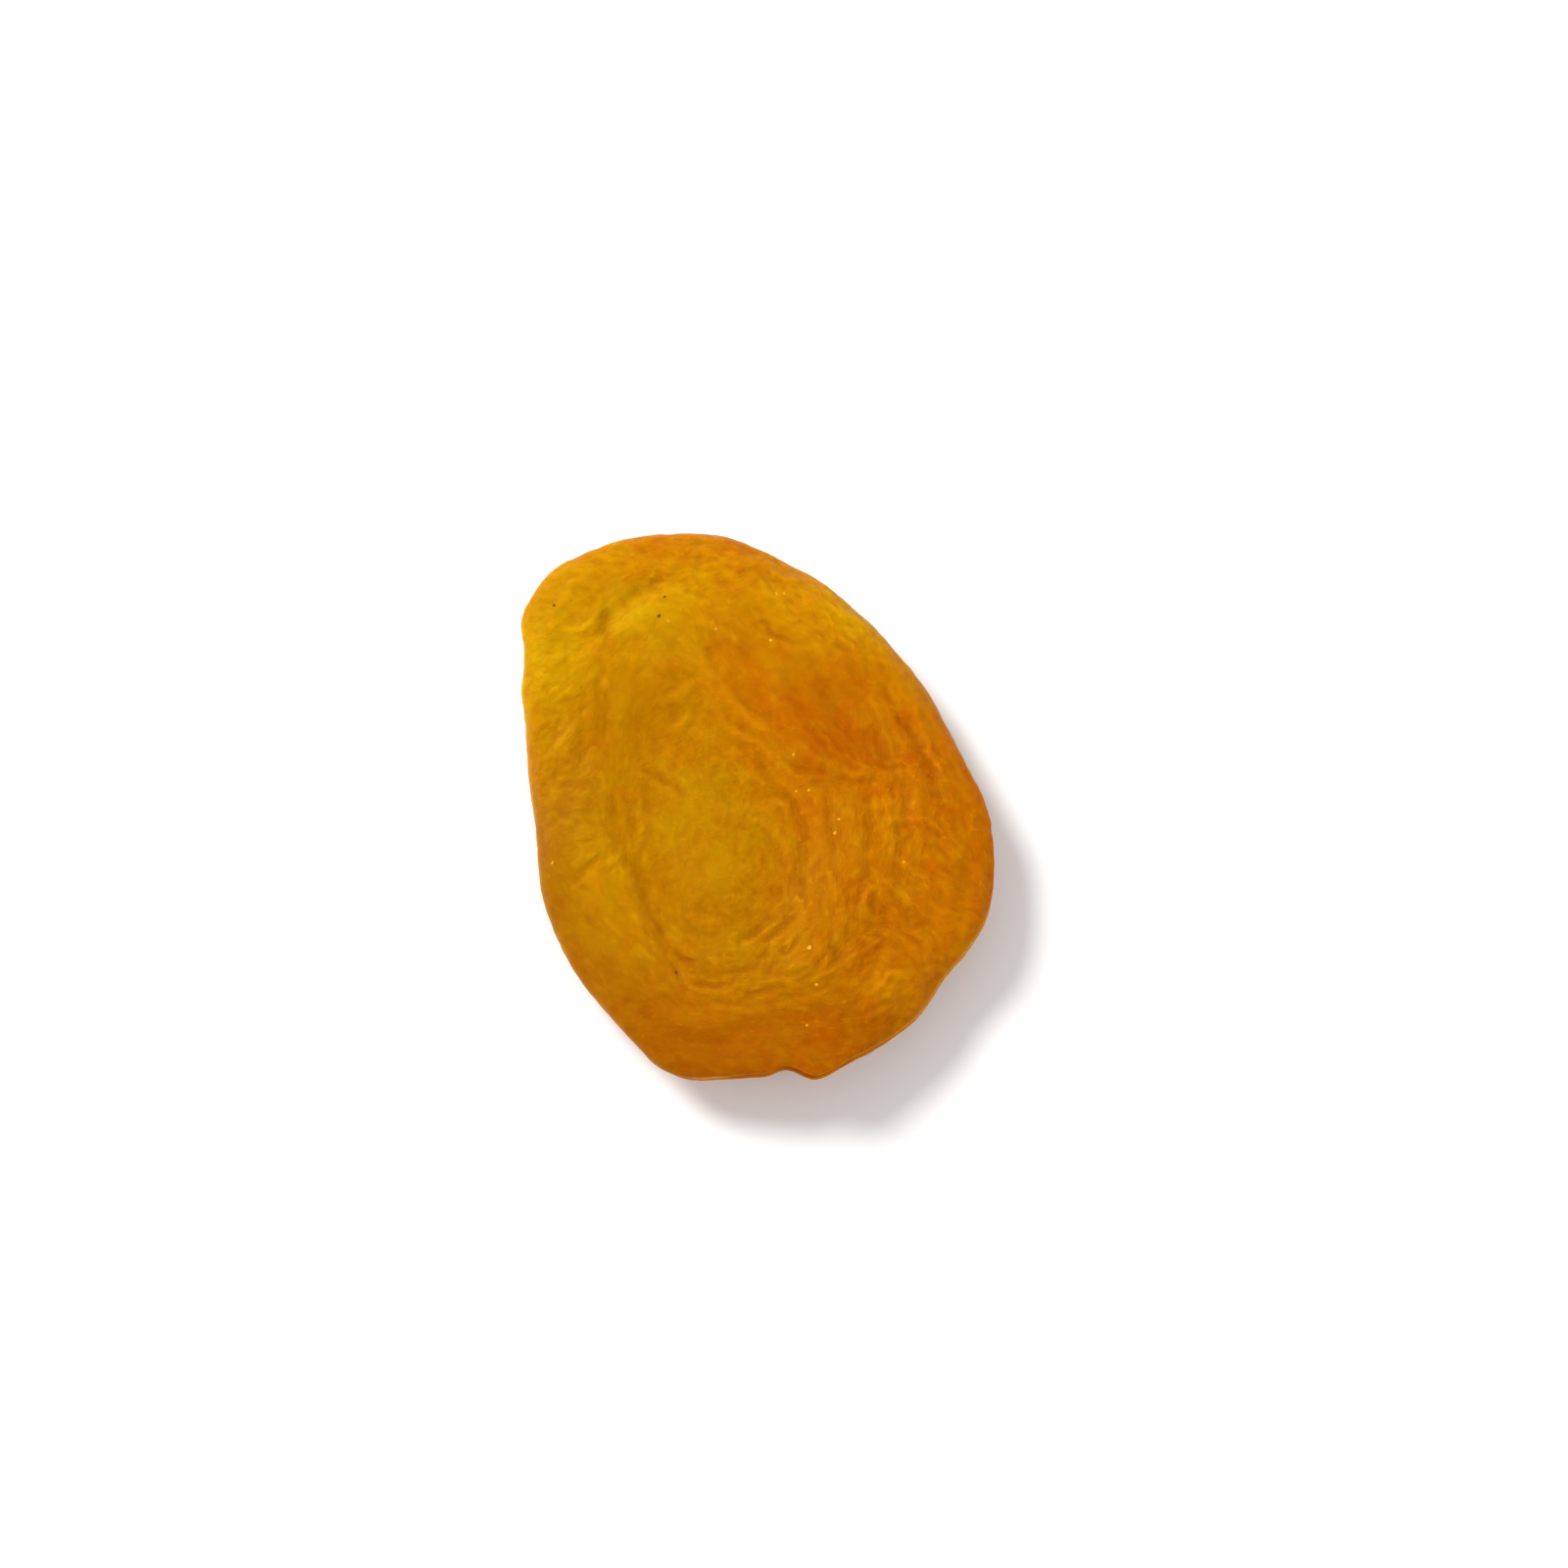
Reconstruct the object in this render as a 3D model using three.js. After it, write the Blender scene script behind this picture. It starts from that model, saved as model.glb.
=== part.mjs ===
import * as THREE from "three";
import { mergeVertices } from "three/addons/utils/BufferGeometryUtils.js";
import { ImprovedNoise } from "three/addons/math/ImprovedNoise.js";

// A whole dried apricot whose stone was pressed out at the stem end before it was dried flat.
// It is one solid: two leathery cheeks that meet in a rounded wavy rim, with the sunken print of
// the stone in the upper cheek, wrinkles that ring the print, and a suture round one side.
// Millimetres, +Z up, stem end towards -Y. It lies on the small flat spot of its lower cheek, and
// its origin is on that flat's plane, under the middle of its bounding box.

// Size and thickness
const LENGTH = 48.4; // stem end to tip
const WIDTH = 40.6; // across the cheeks
const UPPER_FLESH = 3.1; // from the middle sheet up to the skin
const LOWER_FLESH = 3.2; // from the middle sheet down to the skin

// The middle sheet, halfway through the flesh: cupped, twisted and wavy towards the rim.
const MIDDLE_HEIGHT = 3.4; // above the surface the fruit lies on
const CURL = 1.7; // how far the rim stands above the middle
const SADDLE = { lift: 1.15, high: 118 }; // two highs and two lows; degrees of one high
const RIM_WAVES = [
  { count: 3, height: 0.7, turn: 52 },
  { count: 5, height: 0.42, turn: 138 },
  { count: 8, height: 0.28, turn: 0 },
];
const WAVE_GRIP = 5; // higher keeps the waves nearer the rim
const RIM_FULLNESS = { mean: 5.4, swing: 1.5, fullest: 65 }; // higher is a blunter rim; degrees

// Seen from above, each point of the rim where its curve changes, clockwise from the stem end.
const RIM_POINTS = [
  [0.8, -23.7], [-2.8, -23.6], [-6.0, -23.3], [-8.4, -22.1], [-10.4, -20.0], [-12.8, -17.3],
  [-15.3, -14.1], [-17.2, -10.4], [-18.4, -7.0], [-19.0, -1.3], [-19.7, 3.1], [-20.0, 7.9],
  [-20.3, 10.2], [-20.0, 13.5], [-20.5, 15.9], [-19.8, 17.7], [-17.7, 20.7], [-15.4, 22.0],
  [-12.4, 23.4], [-8.5, 24.1], [-3.2, 24.2], [1.4, 22.6], [5.6, 20.4], [8.6, 17.6],
  [11.5, 14.5], [14.4, 11.1], [16.3, 7.4], [18.2, 3.1], [19.7, -0.3], [20.2, -4.8],
  [19.8, -8.3], [18.2, -11.8], [15.9, -14.5], [13.6, -18.0], [11.0, -20.3], [7.8, -22.4],
  [4.6, -24.2],
];
const RIM_GRIP = 5; // higher keeps the rim's own ins and outs nearer the rim
const SECTOR = { half: 28, steps: 14 }; // degrees each way that the cheeks smooth the rim over

// The stem's notch in the rim, the mouth behind it that let the stone out, and the suture, a
// seam along the side from the mouth to the tip. Angles in degrees, depths into the rim.
// The gape is half the opening, as a share of the way from the rim to the top of the cheek.
const NOTCH = { angle: -83.5, depth: 1.3, halfWidth: 1.1 };
const MOUTH = { angle: -80, depth: 2.0, halfWidth: 6.5, gape: 0.17 };
const SUTURE = { from: -75, to: 95, ends: 25, depth: 0.6, gape: 0.13 };
const SUTURE_FADING = { mean: 0.6, swing: 1.4, patch: 6.5 }; // uneven along the suture
const INSET_GRIP = 6; // higher keeps all three nearer the rim

// The stone's print in the upper cheek: a sunken oval inside a raised ring, its floor risen a
// little in the middle. Wall, ring and floor are placed in shares of the oval's half sizes.
const PRINT = {
  at: [-3.9, -2.6],
  half: [7.9, 11.4],
  turn: 14,
  sink: 0.9,
  wall: { from: 0.58, to: 1.22 },
  ring: { lift: 0.4, at: 1.32, half: 0.26 },
  floor: { lift: 0.4, half: 0.55 },
};

// Lumps (lift above 0) and hollows (below 0) of the upper cheek: centre, half sizes, turn in
// degrees.
const UPPER_LUMPS = [
  { at: [-9.4, 15.8], half: [3.9, 3.1], turn: 20, lift: 0.6 },
  { at: [-10.8, 8.2], half: [4.6, 3.4], turn: 10, lift: -0.75 },
  { at: [6.2, 9.3], half: [6.4, 3.9], turn: -38, lift: -0.85 },
  { at: [-14.2, -6.0], half: [2.4, 4.6], turn: 16, lift: 0.45 },
  { at: [9.0, -3.0], half: [4.4, 5.4], turn: 8, lift: 0.4 },
  { at: [10.2, -13.2], half: [4.2, 3.6], turn: 40, lift: 0.4 },
  { at: [-1.5, -18.6], half: [7.6, 2.3], turn: 4, lift: -0.45 },
  { at: [4.5, 18.0], half: [5.6, 1.9], turn: -36, lift: 0.35 },
];

// Long folds of the upper cheek: a soft groove (depth above 0) or ridge (below 0) along a line.
const UPPER_FOLDS = [
  {
    line: [[-0.1, 4.2], [0.9, 2.3], [1.7, 1.1], [3.0, 0.0], [4.0, -2.2], [4.2, -8.4]],
    depth: 0.45,
    width: 0.75,
  },
  { line: [[-5.0, 12.8], [-3.4, 10.2], [-1.7, 8.3], [-0.4, 6.5], [1.4, 5.9]], depth: -0.34, width: 0.8 },
  { line: [[-4.4, 14.1], [-3.2, 11.6], [-1.4, 9.2], [0.6, 7.5], [2.2, 6.8]], depth: 0.25, width: 0.8 },
  { line: [[1.8, 4.0], [3.4, 2.9], [6.6, 2.3], [8.2, 1.7], [9.9, 1.6]], depth: 0.3, width: 0.75 },
  {
    line: [[-11.8, -3.2], [-10.3, -4.8], [-9.7, -7.2], [-8.4, -10.2], [-7.0, -14.4]],
    depth: 0.25,
    width: 0.9,
  },
  { line: [[6.1, 1.2], [6.2, -2.0], [6.7, -4.8], [6.7, -7.8]], depth: 0.35, width: 0.7 },
  { line: [[9.8, 1.6], [9.5, -0.9], [9.4, -4.2], [8.5, -6.4], [8.0, -9.0]], depth: 0.26, width: 0.7 },
  {
    line: [[8.9, 8.4], [10.1, 6.0], [10.9, 3.3], [12.1, 0.0], [11.7, -3.6], [12.1, -7.0]],
    depth: 0.3,
    width: 0.75,
  },
  {
    line: [[9.9, 11.6], [11.6, 8.7], [13.4, 6.0], [14.8, 3.4], [15.5, 0.8], [16.5, -2.2]],
    depth: 0.32,
    width: 0.75,
  },
  {
    line: [[-12.8, 13.4], [-12.5, 16.2], [-10.6, 17.8], [-8.2, 19.5], [-6.3, 20.8]],
    depth: 0.25,
    width: 1.0,
  },
  {
    line: [[16.9, -4.5], [16.6, -9.0], [15.9, -13.0], [14.4, -15.8], [12.8, -17.8]],
    depth: 0.34,
    width: 0.8,
  },
  { line: [[-18.6, 3.7], [-17.4, 4.1], [-16.2, 5.4], [-14.2, 7.9]], depth: -0.3, width: 0.8 },
  {
    line: [[9.9, -10.8], [9.2, -9.4], [9.5, -8.4], [10.5, -7.4], [11.6, -8.0], [13.2, -9.5]],
    depth: -0.3,
    width: 0.75,
  },
  { line: [[8.7, -18.0], [9.8, -17.3], [11.0, -15.7], [13.1, -15.8]], depth: -0.3, width: 0.8 },
  { line: [[7.0, -9.0], [6.4, -11.0], [6.2, -13.2], [5.1, -14.9], [3.6, -16.0]], depth: 0.25, width: 0.8 },
  {
    line: [[-6.8, -13.1], [-5.0, -14.3], [-2.0, -14.9], [0.6, -14.5], [3.5, -12.8]],
    depth: 0.3,
    width: 0.75,
  },
  { line: [[-15.6, -7.1], [-14.6, -5.9], [-12.8, -4.9]], depth: 0.3, width: 0.75 },
];

// The lower cheek was pressed flat by its own weight, so its folds run round the flat spot.
const LOWER_LUMPS = [
  { at: [0.0, 0.0], half: [7.0, 7.6], turn: 0, lift: 0.55 },
  { at: [9.6, 8.6], half: [4.6, 5.8], turn: 30, lift: -0.9 },
  { at: [-11.4, -9.6], half: [4.4, 6.0], turn: 24, lift: -0.8 },
  { at: [10.4, -11.6], half: [5.0, 4.4], turn: 0, lift: 0.5 },
  { at: [-10.6, 11.4], half: [5.2, 4.6], turn: 20, lift: 0.4 },
];
const LOWER_FOLDS = [
  { line: [[0.6, -21.6], [1.8, -15.6], [-0.4, -10.4]], depth: 0.7, width: 0.9 },
  { line: [[-6.2, -19.4], [-9.8, -14.0], [-12.6, -6.2], [-12.4, 1.4]], depth: 0.6, width: 0.9 },
  { line: [[8.6, -18.2], [12.6, -11.4], [13.6, -3.0], [11.4, 4.4]], depth: 0.6, width: 0.9 },
  { line: [[-14.6, 6.4], [-11.6, 13.4], [-4.2, 17.4], [3.4, 15.4]], depth: 0.6, width: 0.9 },
  { line: [[4.4, 20.2], [9.8, 12.6], [12.2, 7.4]], depth: 0.55, width: 0.8 },
  { line: [[-16.2, -8.4], [-15.4, 0.6], [-16.6, 9.0]], depth: 0.45, width: 0.8 },
];
const FOLD_ENDS = 0.15; // share of its depth that a fold keeps at its ends
const FOLD_STATIONS = 28; // places along a fold where its depth is measured from

// Wrinkles that ring the print above, and the flat spot below. Noise bends them and lets them
// fade from patch to patch; they start inside the oval and are full at its edge.
const RINGS = { spacing: 2.7, height: 0.13, start: 0.35 };
const RINGS_FADING = { mean: 0.55, swing: 0.9, bend: 2.6, patch: 7.5 };
const FLAT_SPOT = { at: [0, 0], half: [9, 10.5], turn: 0 };

// Soft unevenness of each cheek: height and breadth of its swells.
const UPPER_SWELLS = [{ height: 0.45, patch: 9 }, { height: 0.2, patch: 4.2 }];
const LOWER_SWELLS = [{ height: 0.5, patch: 10 }, { height: 0.2, patch: 4.5 }];

// Layers of the noise, so that no two uses of it repeat each other.
const LAYER = { upperSwells: 1, upperRings: 3, lowerSwells: 6, lowerRings: 8, suture: 11 };
const LAYER_GAP = 7.3;

// Mesh: cells across each cheek and through the rim.
const CHEEK_CELLS = 34;
const RIM_CELLS = 20;
const CELL_SPREAD = 0.24; // moves cells from the middle of a cheek towards the rim
const RIM_STATIONS = 1200; // places along the rim where its radius is measured

const noise = new ImprovedNoise();
const noiseAt = (x, y, layer, patch) => noise.noise(x / patch, y / patch, layer * LAYER_GAP);
const radians = THREE.MathUtils.degToRad;
const smoothstep = THREE.MathUtils.smoothstep;
const gauss = (distance) => Math.exp(-distance * distance);
const throughPoints = (points, closed) =>
  new THREE.CatmullRomCurve3(points.map(([x, y]) => new THREE.Vector3(x, y, 0)), closed);

// The rim's radius as a function of the angle round the middle.
function rimProfile() {
  const stations = throughPoints(RIM_POINTS, true)
    .getPoints(RIM_STATIONS)
    .slice(0, -1)
    .map((p) => ({ angle: Math.atan2(p.y, p.x), radius: Math.hypot(p.x, p.y) }))
    .sort((a, b) => a.angle - b.angle);
  const [first, last] = [stations[0], stations[stations.length - 1]];
  stations.unshift({ angle: last.angle - 2 * Math.PI, radius: last.radius });
  stations.push({ angle: first.angle + 2 * Math.PI, radius: first.radius });
  return (direction) => {
    const angle = Math.atan2(Math.sin(direction), Math.cos(direction));
    let low = 0;
    let high = stations.length - 1;
    while (high - low > 1) {
      const middle = (low + high) >> 1;
      if (stations[middle].angle <= angle) low = middle;
      else high = middle;
    }
    const [a, b] = [stations[low], stations[high]];
    return THREE.MathUtils.mapLinear(angle, a.angle, b.angle, a.radius, b.radius);
  };
}
const rimRadius = rimProfile();

// How far out the skin lies at this angle and reach. Away from the rim, where the reach is well
// under 1, it follows a smoothed rim, so that a nub of the rim does not run on into the cheek.
function radiusAt(angle, reach) {
  const { half, steps } = SECTOR;
  let sum = 0;
  for (let step = -steps; step <= steps; step++) {
    sum += rimRadius(angle + radians((half * step) / steps));
  }
  const smoothed = sum / (2 * steps + 1);
  return smoothed * reach + (rimRadius(angle) - smoothed) * reach ** RIM_GRIP;
}

// How far out (x, y) lies in an oval: 0 in its middle, 1 on its edge.
function roundOval(x, y, { at, half, turn }) {
  const [dx, dy] = [x - at[0], y - at[1]];
  const [c, s] = [Math.cos(radians(turn)), Math.sin(radians(turn))];
  return Math.hypot((dx * c + dy * s) / half[0], (dy * c - dx * s) / half[1]);
}

function lumpsAt(x, y, lumps) {
  return lumps.reduce((sum, lump) => sum + lump.lift * gauss(roundOval(x, y, lump)), 0);
}

function swellsAt(x, y, swells, layer) {
  return swells.reduce(
    (sum, { height, patch }, i) => sum + height * noiseAt(x, y, layer + i, patch),
    0,
  );
}

// A fold's depth at (x, y): full along its line, and fading out beside it and at its ends.
function foldSampler({ line, depth, width }) {
  const stations = throughPoints(line, false).getSpacedPoints(FOLD_STATIONS);
  return (x, y) => {
    const shares = stations.map((p, i) => {
      const along = i / FOLD_STATIONS;
      const fade = Math.min(1, 4 * along * (1 - along) + FOLD_ENDS);
      return fade * gauss(Math.hypot(x - p.x, y - p.y) / width);
    });
    return depth * Math.max(...shares);
  };
}
const upperFolds = UPPER_FOLDS.map(foldSampler);
const lowerFolds = LOWER_FOLDS.map(foldSampler);
const foldsAt = (x, y, folds) => folds.reduce((sum, fold) => sum + fold(x, y), 0);

function ringsAt(x, y, oval, layer) {
  const round = roundOval(x, y, oval);
  const distance = (round * (oval.half[0] + oval.half[1])) / 2;
  const { mean, swing, bend, patch } = RINGS_FADING;
  const bent = distance + bend * noiseAt(x, y, layer, patch);
  const wave = Math.cos((2 * Math.PI * bent) / RINGS.spacing);
  const patchy = Math.max(0, mean + swing * noiseAt(x, y, layer + 1, patch));
  return RINGS.height * wave * patchy * smoothstep(round, RINGS.start, 1);
}

function printAt(x, y) {
  const { sink, wall, ring, floor } = PRINT;
  const round = roundOval(x, y, PRINT);
  const sunken = sink * (smoothstep(round, wall.from, wall.to) - 1);
  return (
    sunken + ring.lift * gauss((round - ring.at) / ring.half) +
    floor.lift * gauss(round / floor.half)
  );
}

// Skin heights above and below the middle sheet.
function upperSkin(x, y) {
  return (
    UPPER_FLESH + printAt(x, y) + lumpsAt(x, y, UPPER_LUMPS) - foldsAt(x, y, upperFolds) +
    ringsAt(x, y, PRINT, LAYER.upperRings) + swellsAt(x, y, UPPER_SWELLS, LAYER.upperSwells)
  );
}

function lowerSkin(x, y) {
  return (
    LOWER_FLESH + lumpsAt(x, y, LOWER_LUMPS) - foldsAt(x, y, lowerFolds) +
    ringsAt(x, y, FLAT_SPOT, LAYER.lowerRings) + swellsAt(x, y, LOWER_SWELLS, LAYER.lowerSwells)
  );
}

// Height of the middle sheet. Reach is 0 in the middle of the fruit and 1 at its rim.
function middleSheet(angle, reach) {
  const saddle = SADDLE.lift * Math.cos(2 * (angle - radians(SADDLE.high)));
  const waves = RIM_WAVES.reduce(
    (sum, wave) => sum + wave.height * Math.sin(wave.count * angle + radians(wave.turn)),
    0,
  );
  return MIDDLE_HEIGHT + reach ** 2 * (CURL + saddle) + reach ** WAVE_GRIP * waves;
}

// Share of the full thickness that is left at this reach, rounding off to nothing at the rim.
function thicknessShare(angle, reach) {
  const { mean, swing, fullest } = RIM_FULLNESS;
  const fullness = mean + swing * Math.cos(angle - radians(fullest));
  return Math.sqrt(Math.max(0, 1 - reach ** fullness));
}

// How far the suture draws the skin in at this angle, before its gape is counted.
function sutureDepth(angle, radius) {
  const { from, to, ends, depth } = SUTURE;
  const degrees = THREE.MathUtils.radToDeg(angle);
  const along = smoothstep(degrees, from, from + ends) * (1 - smoothstep(degrees, to - ends, to));
  const [x, y] = [radius * Math.cos(angle), radius * Math.sin(angle)];
  const { mean, swing, patch } = SUTURE_FADING;
  const uneven = Math.max(0, mean + swing * noiseAt(x, y, LAYER.suture, patch));
  return depth * along * uneven;
}

// How far the notch, the mouth and the suture draw the rim in. Steepness is 0 at the rim's edge
// and 1 at the top of the cheek.
function rimInset(angle, radius, steepness) {
  const awayFrom = (degrees) => {
    const turn = angle - radians(degrees);
    return radius * Math.atan2(Math.sin(turn), Math.cos(turn));
  };
  const notch = NOTCH.depth * gauss(awayFrom(NOTCH.angle) / NOTCH.halfWidth);
  const mouth = MOUTH.depth * gauss(awayFrom(MOUTH.angle) / MOUTH.halfWidth);
  return (
    notch + mouth * gauss(steepness / MOUTH.gape) +
    sutureDepth(angle, radius) * gauss(steepness / SUTURE.gape)
  );
}

// A point of the skin from a direction on the unit sphere: up is the upper cheek, down the lower.
function skinPoint(direction) {
  const flat = Math.min(1, Math.hypot(direction.x, direction.y));
  const angle = Math.atan2(direction.y, direction.x);
  const reach = flat * (1 + CELL_SPREAD * (1 - flat * flat));
  const radius = radiusAt(angle, reach);
  const drawnIn = radius - rimInset(angle, radius, direction.z) * reach ** INSET_GRIP;
  const [x, y] = [drawnIn * Math.cos(angle), drawnIn * Math.sin(angle)];
  const middle = middleSheet(angle, reach);
  const share = thicknessShare(angle, reach);
  const upper = direction.z >= 0;
  const z = upper ? middle + share * upperSkin(x, y) : middle - share * lowerSkin(x, y);
  return new THREE.Vector3(x, y, Math.max(0, z));
}

// Gives the fruit its stated length and width and puts its origin under the middle of its box.
function fitToSize(geometry) {
  geometry.computeBoundingBox();
  const box = geometry.boundingBox;
  const [size, centre] = [box.getSize(new THREE.Vector3()), box.getCenter(new THREE.Vector3())];
  geometry.translate(-centre.x, -centre.y, -box.min.z);
  geometry.scale(WIDTH / size.x, LENGTH / size.y, 1);
}

// A box of even cells, blown up to a sphere and then shaped into the fruit.
function apricotGeometry() {
  const box = new THREE.BoxGeometry(2, 2, 2, CHEEK_CELLS, CHEEK_CELLS, RIM_CELLS);
  box.deleteAttribute("normal");
  box.deleteAttribute("uv");
  const geometry = mergeVertices(box, 1e-5);
  const positions = geometry.getAttribute("position");
  const evenAngles = (share) => Math.tan((share * Math.PI) / 4);
  for (let i = 0; i < positions.count; i++) {
    const corner = new THREE.Vector3().fromBufferAttribute(positions, i);
    corner.set(evenAngles(corner.x), evenAngles(corner.y), evenAngles(corner.z)).normalize();
    const { x, y, z } = skinPoint(corner);
    positions.setXYZ(i, x, y, z);
  }
  fitToSize(geometry);
  return geometry;
}

function apricot() {
  const skin = new THREE.MeshStandardMaterial({ color: 0xd18a0a, roughness: 0.5, metalness: 0 });
  const mesh = new THREE.Mesh(apricotGeometry(), skin);
  mesh.name = "apricot";
  return mesh;
}

const part = new THREE.Group();
part.add(apricot());
export default part;
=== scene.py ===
import math

import bmesh
import bpy
import numpy as np
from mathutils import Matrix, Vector, noise


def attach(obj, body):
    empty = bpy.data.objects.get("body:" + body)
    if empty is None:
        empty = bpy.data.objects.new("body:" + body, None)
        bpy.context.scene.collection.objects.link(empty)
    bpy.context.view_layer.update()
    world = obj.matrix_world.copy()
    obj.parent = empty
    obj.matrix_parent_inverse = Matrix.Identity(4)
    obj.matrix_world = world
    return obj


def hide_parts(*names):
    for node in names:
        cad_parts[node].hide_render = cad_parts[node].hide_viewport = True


# A dried apricot on a pale floor, seen nearly from above. The CAD solid gives its shape. This
# script cuts the skin finer, presses the small wrinkles into it, and colours it.
# Places on the skin are in millimetres in the part's own frame, and the meshes are in metres.
MM = 0.001

# Camera: the frame spans this much of the floor round the fruit.
ELEVATION = math.radians(74)
FRAME_SPAN = 134.5
AIM = (2.44, 2.14, 4.0)
LENS = 85.0
SENSOR = 36.0
NEAR_CLIP = 0.01

# The floor and the light, in metres
FLOOR = {"size": 3.0, "roughness": 0.9, "shine": 0.1}
FLOOR_MOTTLE = {"size": 60.0, "between": (0.3, 0.7), "tone": (0.9, 0.92)}  # size in millimetres
LIGHTS = [
    {"name": "key", "at": (-0.45, 0.35, 0.6), "size": 0.35, "power": 7.0},
    {"name": "fill", "at": (0.5, -0.4, 0.7), "size": 0.6, "power": 2.0},
]
SKY = {"colour": (1.0, 1.0, 1.0, 1.0), "strength": 0.55}

# The skin's mesh
SUBDIVISIONS = 2
WELD = 0.001  # vertices closer than this are one

# How far the skin faces up, from -1 to 1, where the upper cheek sets in and where it is in
# full. The same for the rim and for its very edge, by how far the skin faces up or down.
UPPER_FACING = (-0.3, 0.2)
RIM_FACING = (0.85, 0.25)
EDGE_FACING = (0.6, 0.15)

# The middle of the lower cheek's flat spot, as the solid has it.
FLAT_SPOT = (-1.5, -1.3)

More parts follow.
